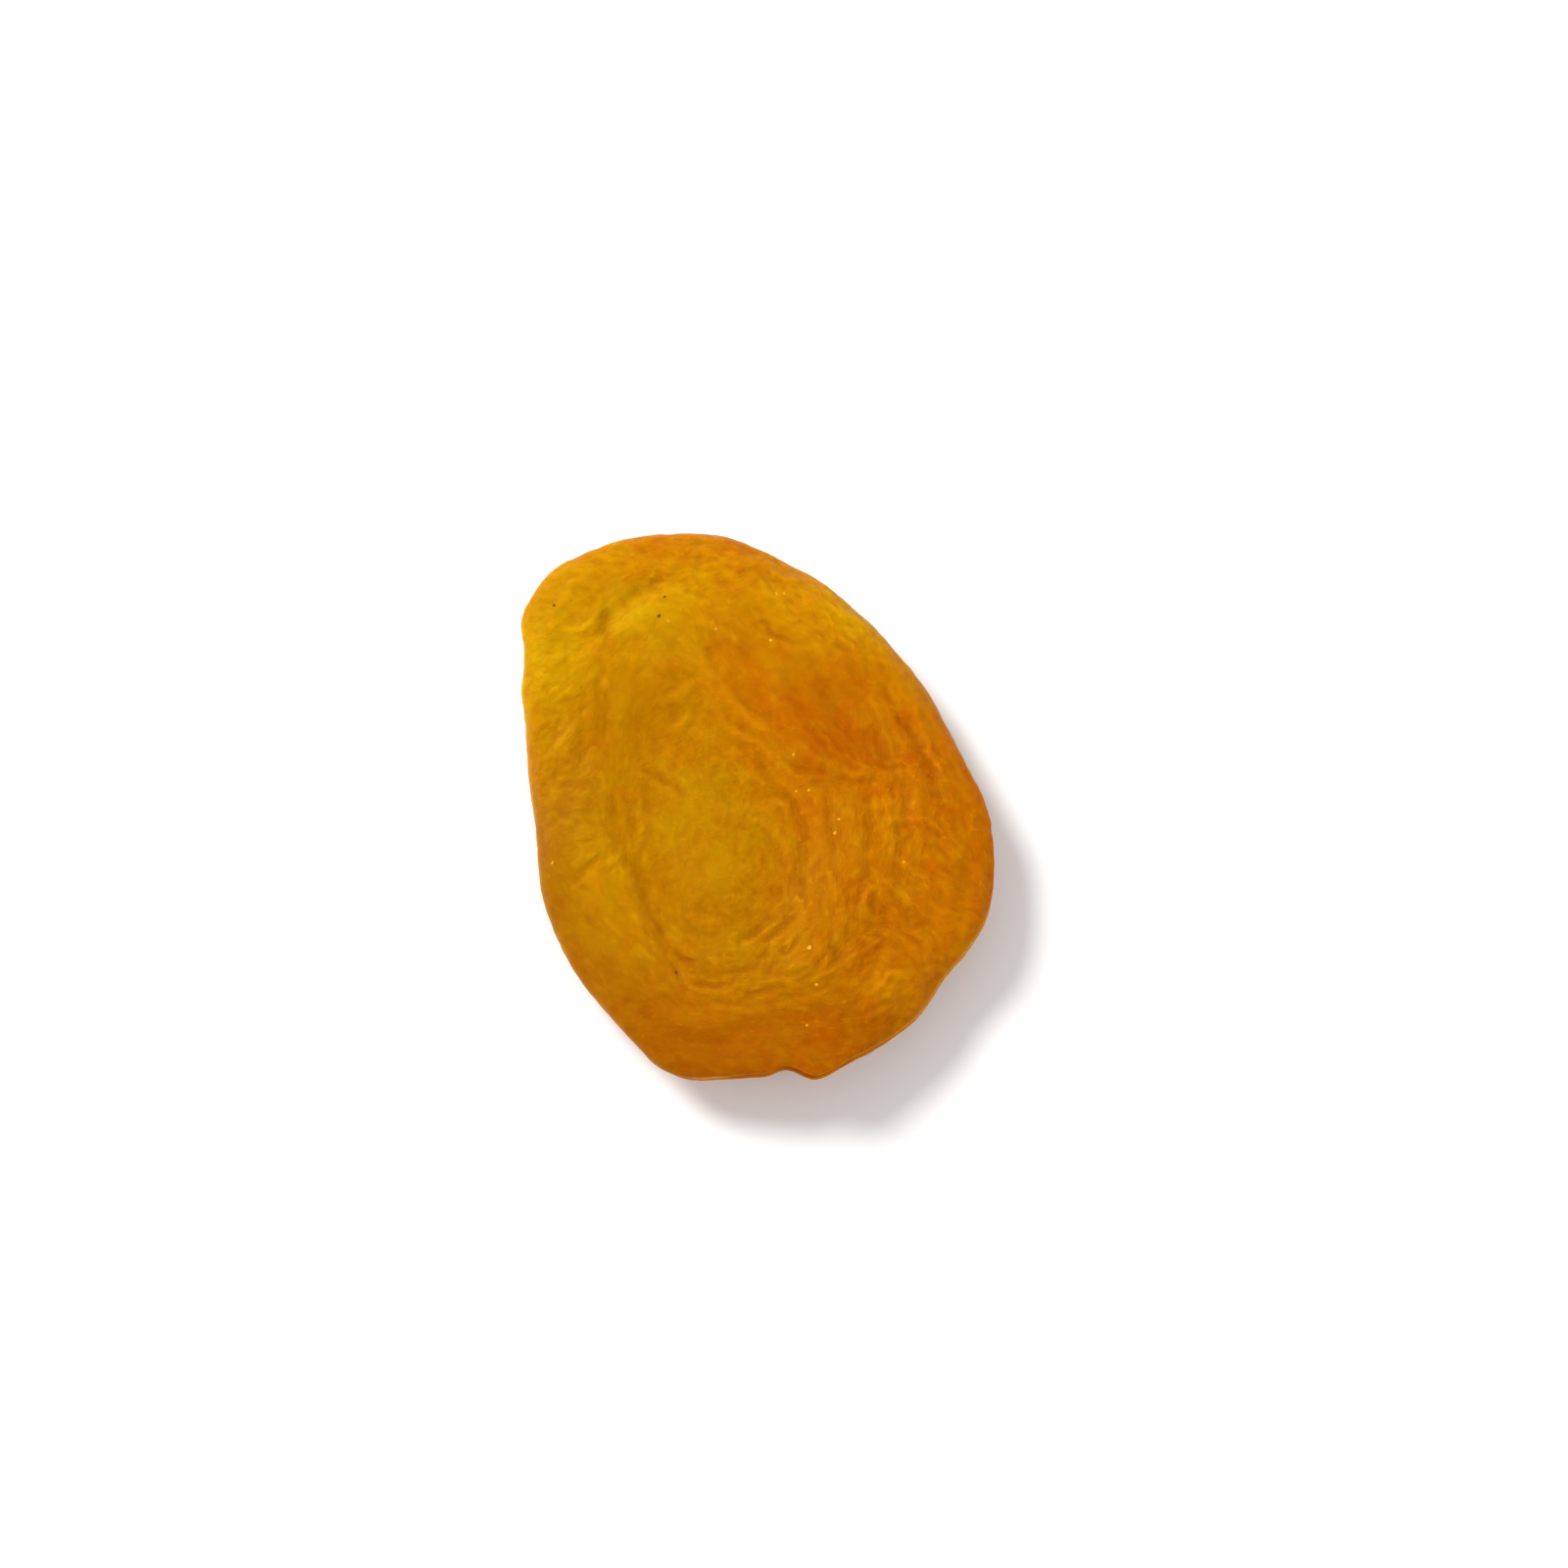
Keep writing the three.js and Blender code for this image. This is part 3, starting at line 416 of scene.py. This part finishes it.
def fine_skin(node):
    """A new object with the solid's surface in quads, smoothed and cut finer."""
    mesh = bpy.data.meshes.new("dried_apricot")
    corners = [v.co for v in node.data.vertices]
    mesh.from_pydata(corners, [], [p.vertices[:] for p in node.data.polygons])
    edit = bmesh.new()
    edit.from_mesh(mesh)
    bmesh.ops.remove_doubles(edit, verts=edit.verts, dist=WELD * MM)
    bmesh.ops.join_triangles(
        edit, faces=edit.faces, angle_face_threshold=math.pi, angle_shape_threshold=math.pi
    )
    edit.to_mesh(mesh)
    edit.free()
    coarse = bpy.data.objects.new("coarse_skin", mesh)
    bpy.context.scene.collection.objects.link(coarse)
    modifier = coarse.modifiers.new("finer", "SUBSURF")
    modifier.levels = SUBDIVISIONS
    depsgraph = bpy.context.evaluated_depsgraph_get()
    finer = bpy.data.meshes.new_from_object(coarse.evaluated_get(depsgraph))
    bpy.data.objects.remove(coarse)
    finer.name = "dried_apricot"
    for polygon in finer.polygons:
        polygon.use_smooth = True
    apricot = bpy.data.objects.new("dried_apricot", finer)
    bpy.context.scene.collection.objects.link(apricot)
    return apricot


class Skin:
    """Where each vertex of the skin lies in millimetres, and which way it faces."""

    def __init__(self, mesh):
        count = len(mesh.vertices)
        places = np.empty(count * 3)
        mesh.vertices.foreach_get("co", places)
        self.places = places.reshape(-1, 3) / MM
        normals = np.empty(count * 3)
        mesh.vertex_normals.foreach_get("vector", normals)
        self.normals = normals.reshape(-1, 3)
        self.x, self.y, self.z = self.places.T
        facing = self.normals[:, 2]
        self.upper = smoothstep(facing, *UPPER_FACING)
        self.rim = smoothstep(np.abs(facing), *RIM_FACING)
        self.edge = smoothstep(np.abs(facing), *EDGE_FACING)

    def patches(self, base, patches):
        """A value that changes softly from patch to patch of the upper cheek."""
        value = np.full(len(self.x), base)
        for patch in patches:
            value += patch["by"] * gauss(round_oval(self.x, self.y, patch)) * self.upper
        return value


def grain(skin):
    """Twice the angle of the grain, seen from above, at each vertex."""
    east, north = np.zeros(len(skin.x)), np.zeros(len(skin.x))
    for line in GRAIN_LINES + [line for _, _, line in FOLDS]:
        for (ax, ay), (bx, by) in zip(line, line[1:]):
            length = math.hypot(bx - ax, by - ay)
            turn = 2 * math.atan2(by - ay, bx - ax)
            distance, _ = distance_to_line(skin.x, skin.y, [(ax, ay), (bx, by)])
            weight = length * np.exp(-3 * distance / GRAIN_REACH)
            east += weight * math.cos(turn)
            north += weight * math.sin(turn)
    size = np.hypot(east, north) + 1e-9
    round_the_spot = 2 * np.arctan2(skin.y - FLAT_SPOT[1], skin.x - FLAT_SPOT[0]) + math.pi
    east = skin.upper * east / size + (1 - skin.upper) * np.cos(round_the_spot)
    north = skin.upper * north / size + (1 - skin.upper) * np.sin(round_the_spot)
    return np.arctan2(north, east)


def streaks(skin, twice_angle, layer, seed):
    """Noise drawn out along the grain, from about -1 to 1, in each of a few turns and mixed."""
    shift = WANDER["reach"] * noise_at(skin.places / WANDER["size"], seed)
    slip = WANDER["reach"] * noise_at(skin.places / WANDER["size"], seed + 1)
    total, power = np.zeros(len(skin.x)), np.full(len(skin.x), 1e-9)
    for turn in range(GRAIN_TURNS):
        angle = math.pi * turn / GRAIN_TURNS
        weight = np.maximum(0.0, np.cos(twice_angle - 2 * angle)) ** 4
        near = np.flatnonzero(weight > 0.01)
        x, y = skin.x[near] + shift[near], skin.y[near] + slip[near]
        along = (x * math.cos(angle) + y * math.sin(angle)) / layer["stretch"]
        across = y * math.cos(angle) - x * math.sin(angle)
        where = np.column_stack((along, across, skin.z[near])) / layer["size"]
        total[near] += weight[near] * noise_at(where, seed + 2 + turn)
        power[near] += weight[near] ** 2
    return STREAK_GAIN * total / np.sqrt(power)


def sharpened(value, side):
    """Rounded hills with sharp valleys between them for side -1, and the reverse for side 1."""
    slant = PROFILE["slope"] * np.sqrt(value * value + PROFILE["rounding"])
    return side * (PROFILE["top"] - slant)


def crumple(skin, seed):
    """Soft folds that cross each other, with sharp valleys."""
    height = np.zeros(len(skin.x))
    for number, layer in enumerate(CRUMPLE):
        folded = np.abs(noise_at(skin.places / layer["size"], seed + number))
        height += layer["height"] * (np.minimum(1.0, CRUMPLE_SLOPE * folded) - 1.0)
    return height


def folds(skin):
    """Height of the folds that stand out in the light, in millimetres."""
    stray = skin.places / FOLD_STRAY["size"]
    x = skin.x + FOLD_STRAY["reach"] * noise_at(stray, FOLD_SEED)
    y = skin.y + FOLD_STRAY["reach"] * noise_at(stray, FOLD_SEED + 1)
    height = np.zeros(len(skin.x))
    for rise, width, line in FOLDS:
        distance, along = distance_to_line(x, y, line)
        fade = np.sqrt(np.clip(4 * along * (1 - along), 0.0, 1.0))
        height += FOLD_RISE * rise * fade * gauss(distance / (FOLD_SPREAD * width))
    swell = 1.0 + FOLD_SWELL["swing"] * noise_at(skin.places / FOLD_SWELL["size"], FOLD_SEED + 2)
    return height * np.clip(swell, *FOLD_SWELL["limits"]) * skin.upper


def relief(skin, twice_angle, strength):
    """Heights of the fine relief over the solid's surface, in millimetres."""
    small = crumple(skin, CRUMPLE_SEED)
    for number, layer in enumerate(WRINKLES):
        value = streaks(skin, twice_angle, layer, WRINKLE_SEED + 20 * number)
        small += layer["height"] * sharpened(value, layer["sharp"])
    off_the_floor = smoothstep(skin.z, *FLOOR_FADE)
    return (small * strength + folds(skin)) * off_the_floor


def deepness(mesh, skin, sort):
    """How deep each vertex lies under the smoothed skin: 1 in a crease, -1 on a crest."""
    count = len(mesh.vertices)
    ends = np.empty(2 * len(mesh.edges), dtype=int)
    mesh.edges.foreach_get("vertices", ends)
    one, other = ends.reshape(-1, 2).T
    degree = np.bincount(ends, minlength=count)
    places = np.empty(count * 3)
    mesh.vertices.foreach_get("co", places)
    places = places.reshape(-1, 3) / MM
    smooth = places
    for _ in range(sort["rounds"]):
        columns = []
        for column in smooth.T:
            total = np.bincount(one, column[other], count) + np.bincount(other, column[one], count)
            columns.append(total / degree)
        smooth = np.column_stack(columns)
    under = ((smooth - places) * skin.normals).sum(axis=1)
    return np.clip(under / sort["depth"], -1.0, 1.0)


def press_relief(mesh, skin, height):
    """Moves each vertex out by its height in millimetres, but never under the floor."""
    places = skin.places + skin.normals * height[:, None]
    places[:, 2] = np.maximum(places[:, 2], 0.0)
    mesh.vertices.foreach_set("co", (places * MM).ravel())
    mesh.update()


def yellowness(skin):
    """How yellow each vertex is, from 0 to 1, with painted light on the thin rim."""
    mottle = MOTTLE["swing"] * noise_at(skin.places / MOTTLE["size"], MOTTLE_SEED)
    return np.clip(skin.patches(BASE_YELLOW, PATCHES) + mottle + PAINTED_RIM_YELLOW * skin.rim, 0.0, 1.0)


def on_skin(skin, x, y):
    """The place on the upper cheek right above a point of the floor, in metres."""
    away = np.where(skin.upper < 1, np.inf, np.hypot(skin.x - x, skin.y - y))
    return tuple((skin.places[np.argmin(away)] * MM).tolist())


class Graph:
    """Adds nodes to a material and links them as it goes."""

    def __init__(self, name):
        self.material = bpy.data.materials.new(name)
        self.material.use_nodes = True
        self.tree = self.material.node_tree
        self.shader = self.tree.nodes["Principled BSDF"]

    def node(self, kind, settings=None, **inputs):
        """A new node. Underscores in the names of its inputs stand for spaces."""
        made = self.tree.nodes.new(kind)
        for name, value in (settings or {}).items():
            setattr(made, name, value)
        for name, value in inputs.items():
            self.feed(made.inputs[name.replace("_", " ")], value)
        return made

    def feed(self, socket, value):
        """Links another node's output to a socket, or sets the socket to a plain value."""
        if isinstance(value, bpy.types.NodeSocket):
            self.tree.links.new(value, socket)
        else:
            socket.default_value = value

    def field(self, name):
        """A value that the mesh holds for each vertex."""
        return self.node("ShaderNodeAttribute", {"attribute_name": name}).outputs["Fac"]

    def noise(self, size, detail=3.0, roughness=0.55):
        where = self.node("ShaderNodeTexCoord").outputs["Object"]
        made = self.node(
            "ShaderNodeTexNoise",
            Vector=where,
            Scale=1.0 / (size * MM),
            Detail=detail,
            Roughness=roughness,
        )
        return made.outputs["Fac"]

    def strayed(self, stray):
        """Places on the skin, shifted about so that edges drawn from them aren't straight."""
        where = self.node("ShaderNodeTexCoord").outputs["Object"]
        scale = 1.0 / (stray["size"] * MM)
        shift = self.node("ShaderNodeTexNoise", Vector=where, Scale=scale, Detail=1.0)
        centred = self.node("ShaderNodeVectorMath", {"operation": "SUBTRACT"})
        self.feed(centred.inputs[0], shift.outputs["Color"])
        self.feed(centred.inputs[1], (0.5, 0.5, 0.5))
        moved = self.node("ShaderNodeVectorMath", {"operation": "MULTIPLY_ADD"})
        self.feed(moved.inputs[0], centred.outputs[0])
        self.feed(moved.inputs[1], (2 * stray["reach"] * MM,) * 3)
        self.feed(moved.inputs[2], where)
        return moved.outputs[0]

    def streaks(self, size, stretch):
        """Noise drawn out along the grain: four directions and plain noise, mixed by the fields."""
        where = self.strayed(PLATE_STRAY)
        total = self.math("MULTIPLY", self.noise(size, 1.0), self.field("plain"))
        ways = ((0, "grain_x", 1), (45, "grain_y", 1), (90, "grain_x", -1), (135, "grain_y", -1))
        for turn, name, sign in ways:
            share = self.math("MAXIMUM", self.math("MULTIPLY", self.field(name), sign), 0.0)
            share = self.math("POWER", share, 2.0)
            turned = self.node(
                "ShaderNodeVectorRotate",
                {"rotation_type": "Z_AXIS"},
                Vector=where,
                Angle=-math.radians(turn),
            )
            drawn = self.node("ShaderNodeVectorMath", {"operation": "MULTIPLY"})
            self.feed(drawn.inputs[0], turned.outputs[0])
            self.feed(drawn.inputs[1], (1.0 / stretch, 1.0, 1.0))
            grains = self.node(
                "ShaderNodeTexNoise", Vector=drawn.outputs[0], Scale=1.0 / (size * MM), Detail=1.0
            )
            part = self.math("MULTIPLY", grains.outputs["Fac"], share)
            total = self.math("ADD", part, total)
        return total

    def dots(self, places):
        """1 inside small uneven dots, each given by its place and its radius in millimetres."""
        where = self.strayed(DOT_STRAY)
        share = 0.0
        for place, radius in places:
            away = self.node("ShaderNodeVectorMath", {"operation": "DISTANCE"})
            self.feed(away.inputs[0], where)
            self.feed(away.inputs[1], place)
            outer, inner = (part * radius * MM for part in DOT_EDGE)
            inside = self.ranged(away.outputs["Value"], outer, inner)
            share = self.math("MAXIMUM", inside, share)
        return share

    def ranged(self, value, low, high, to_low=0.0, to_high=1.0):
        """Maps low to high onto to_low to to_high, and holds still outside."""
        made = self.node("ShaderNodeMapRange")
        for name, number in (
            ("Value", value),
            ("From Min", low),
            ("From Max", high),
            ("To Min", to_low),
            ("To Max", to_high),
        ):
            self.feed(made.inputs[name], number)
        return made.outputs["Result"]

    def math(self, operation, a, b):
        made = self.node("ShaderNodeMath", {"operation": operation})
        self.feed(made.inputs[0], a)
        self.feed(made.inputs[1], b)
        return made.outputs[0]

    def mixed(self, factor, a, b, blend="MIX"):
        made = self.node("ShaderNodeMix", {"data_type": "RGBA", "blend_type": blend})
        self.feed(made.inputs["Factor"], factor)
        self.feed(made.inputs[6], a if isinstance(a, bpy.types.NodeSocket) else (*a, 1.0))
        self.feed(made.inputs[7], b if isinstance(b, bpy.types.NodeSocket) else (*b, 1.0))
        return made.outputs[2]


def skin_colour(graph):
    """Orange with yellow patches, darker where the flesh is deep (partly painted shade), with
    painted shade in creases, a painted highlight on crests and a painted glow on the very edge.
    """
    swing = SMALL_MOTTLE["swing"]
    mottle = graph.noise(SMALL_MOTTLE["size"])
    mottle = graph.ranged(mottle, *SMALL_MOTTLE["between"], -swing, swing)
    colour = graph.mixed(graph.math("ADD", graph.field("yellow"), mottle), ORANGE, YELLOW)
    # Deep flesh takes a darker tone that is partly painted shade; creases take painted shade,
    # crests a painted highlight and the very edge a painted glow.
    for field, tone, share in (
        ("depth", SHADE_AND_DEPTH_TONE, 1.0),
        ("crease", CREASE_SHADE_TONE, CREASE_SHARE),
        ("crest", CREST_HIGHLIGHT_TONE, CREASE_SHARE),
        ("edge", PAINTED_EDGE_GLOW, 1.0),
    ):
        toned = graph.mixed(1.0, colour, tone, "MULTIPLY")
        colour = graph.mixed(graph.math("MULTIPLY", graph.field(field), share), colour, toned)
    return colour


def skin_plates(graph):
    """The finest relief: how high each little plate of skin stands, and the light it catches."""
    large = graph.streaks(PLATES["size"], PLATES["stretch"])
    small = graph.streaks(SMALL_PLATES["size"], SMALL_PLATES["stretch"])
    raised = graph.math(
        "ADD",
        graph.ranged(large, *PLATES["between"], 0.0, PLATES["height"]),
        graph.ranged(small, *SMALL_PLATES["between"], 0.0, SMALL_PLATES["height"]),
    )
    edges = graph.math(
        "MULTIPLY",
        graph.ranged(large, *EDGE_LIGHT["in"]),
        graph.ranged(large, *EDGE_LIGHT["out"]),
    )
    gaps = graph.noise(EDGE_GAPS["size"], 1.0)
    gaps = graph.ranged(gaps, *EDGE_GAPS["between"], 0.0, EDGE_GAPS["share"])
    tops = graph.ranged(small, *TOP_LIGHT["between"], 0.0, TOP_LIGHT["share"])
    glints = graph.math("MAXIMUM", graph.math("MULTIPLY", edges, gaps), tops)
    strength = graph.field("strength")
    return graph.math("MULTIPLY", raised, strength), graph.math("MULTIPLY", glints, strength)


def skin_material(dots):
    """Waxy, slightly translucent skin, with pale specks and dark dots on it."""
    graph = Graph("apricot_skin")
    raised, glints = skin_plates(graph)
    blotches = graph.noise(BLOTCHES["size"], 2.0)
    blotches = graph.ranged(blotches, *BLOTCHES["between"], *BLOTCHES["tone"])
    # The skin's own blotches, times painted shade on low plates and painted light on raised ones
    mottle_and_plate_shade = graph.math("MULTIPLY", blotches, graph.ranged(raised, 0.0, 1.0, *PLATE_SHADE_TONE))
    mottle_and_plate_shade = graph.node("ShaderNodeCombineColor", Red=mottle_and_plate_shade, Green=mottle_and_plate_shade, Blue=mottle_and_plate_shade).outputs[0]
    colour = graph.mixed(1.0, skin_colour(graph), mottle_and_plate_shade, "MULTIPLY")
    colour = graph.mixed(glints, colour, GLINT_TONE)
    for places, tone in dots:
        colour = graph.mixed(graph.dots(places), colour, tone)
    roughness = graph.ranged(graph.noise(GLOSS["size"]), *GLOSS["between"], *GLOSS["roughness"])
    bump = graph.node(
        "ShaderNodeBump", Height=raised, Strength=BUMP["strength"], Distance=BUMP["distance"] * MM
    )
    graph.feed(graph.shader.inputs["Base Color"], colour)
    graph.feed(graph.shader.inputs["Roughness"], roughness)
    graph.feed(graph.shader.inputs["Normal"], bump.outputs[0])
    for name, value in SKIN_SHADER.items():
        graph.shader.inputs[name].default_value = value
    return graph.material


def write_fields(mesh, skin, twice_angle, strength):
    """The fields that the skin's colour and finest relief are drawn from."""
    deep = DEEP_SHARE * (deepness(mesh, skin, NARROW) + deepness(mesh, skin, WIDE))
    # Less deep on the rim: painted light through the thin rim
    depth = skin.patches(BASE_DEPTH, SHADE_AND_DEPTH_PATCHES) + PAINTED_RIM_DEPTH * skin.rim
    drawn = np.clip(skin.patches(BASE_DRAWN, DRAWN), 0.0, 1.0)
    for name, values in (
        # Painted shade in the creases and a painted highlight on the crests
        ("crease", np.clip(deep, 0.0, 1.0)),
        ("crest", np.clip(-deep, 0.0, 1.0)),
        ("strength", strength),
        # Where the very edge takes its painted glow
        ("edge", skin.edge),
        ("plain", 1.0 - drawn * drawn),
        ("grain_x", drawn * np.cos(twice_angle)),
        ("grain_y", drawn * np.sin(twice_angle)),
        ("yellow", yellowness(skin)),
        # Partly painted shade, partly the flesh's own deeper colour
        ("depth", np.clip(depth, 0.0, 1.0)),
    ):
        field = mesh.attributes.new(name, "FLOAT", "POINT")
        field.data.foreach_set("value", values.astype(np.float32))


def place_dots(mesh):
    """The pale specks and dark dots: for each kind its tone, and the place and size of each."""
    skin = Skin(mesh)
    kinds = ((BRIGHT_SPECKS, BRIGHT_TONE), (PALE_SPECKS, PALE_TONE), (DARK_DOTS, DARK_TONE))
    return [([(on_skin(skin, x, y), size) for x, y, size in kind], tone) for kind, tone in kinds]


def dress_apricot(node):
    """The fruit's visible skin, which stands in for its solid."""
    apricot = fine_skin(node)
    mesh = apricot.data
    skin = Skin(mesh)
    twice_angle = grain(skin)
    strength = np.clip(skin.patches(BASE_STRENGTH, STRENGTHS), *STRENGTH_LIMITS)
    press_relief(mesh, skin, relief(skin, twice_angle, strength))
    write_fields(mesh, skin, twice_angle, strength)
    mesh.materials.append(skin_material(place_dots(mesh)))
    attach(apricot, "root")
    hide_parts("apricot")


def make_floor():
    """A wide pale floor, hardly mottled."""
    graph = Graph("floor")
    graph.shader.inputs["Roughness"].default_value = FLOOR["roughness"]
    graph.shader.inputs["Specular IOR Level"].default_value = FLOOR["shine"]
    mottle = graph.noise(FLOOR_MOTTLE["size"])
    tone = graph.ranged(mottle, *FLOOR_MOTTLE["between"], *FLOOR_MOTTLE["tone"])
    colour = graph.node("ShaderNodeCombineColor", Red=tone, Green=tone, Blue=tone).outputs[0]
    graph.feed(graph.shader.inputs["Base Color"], colour)
    bpy.ops.mesh.primitive_plane_add(size=FLOOR["size"])
    floor = bpy.context.object
    floor.name = "floor"
    floor.data.materials.append(graph.material)


def make_light(lamp):
    """A round area light that faces the fruit."""
    data = bpy.data.lights.new(lamp["name"], "AREA")
    data.shape = "DISK"
    data.size = lamp["size"]
    data.energy = lamp["power"]
    light = bpy.data.objects.new(lamp["name"], data)
    light.location = lamp["at"]
    light.rotation_euler = (-Vector(lamp["at"])).to_track_quat("-Z", "Y").to_euler()
    bpy.context.scene.collection.objects.link(light)


def light_studio():
    """Even white light from all round, a key from behind on the left, and a weak fill."""
    world = bpy.data.worlds.new("studio")
    world.use_nodes = True
    background = world.node_tree.nodes["Background"]
    background.inputs["Color"].default_value = SKY["colour"]
    background.inputs["Strength"].default_value = SKY["strength"]
    bpy.context.scene.world = world
    for lamp in LIGHTS:
        make_light(lamp)
    bpy.context.scene.view_settings.view_transform = "Standard"


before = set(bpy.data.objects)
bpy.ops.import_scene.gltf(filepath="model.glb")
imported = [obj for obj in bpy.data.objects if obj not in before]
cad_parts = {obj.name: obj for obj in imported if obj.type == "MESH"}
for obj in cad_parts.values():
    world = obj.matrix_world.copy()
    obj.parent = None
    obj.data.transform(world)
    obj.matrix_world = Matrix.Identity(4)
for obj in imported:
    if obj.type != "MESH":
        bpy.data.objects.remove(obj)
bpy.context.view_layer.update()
make_camera()
dress_apricot(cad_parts["apricot"])
make_floor()
light_studio()
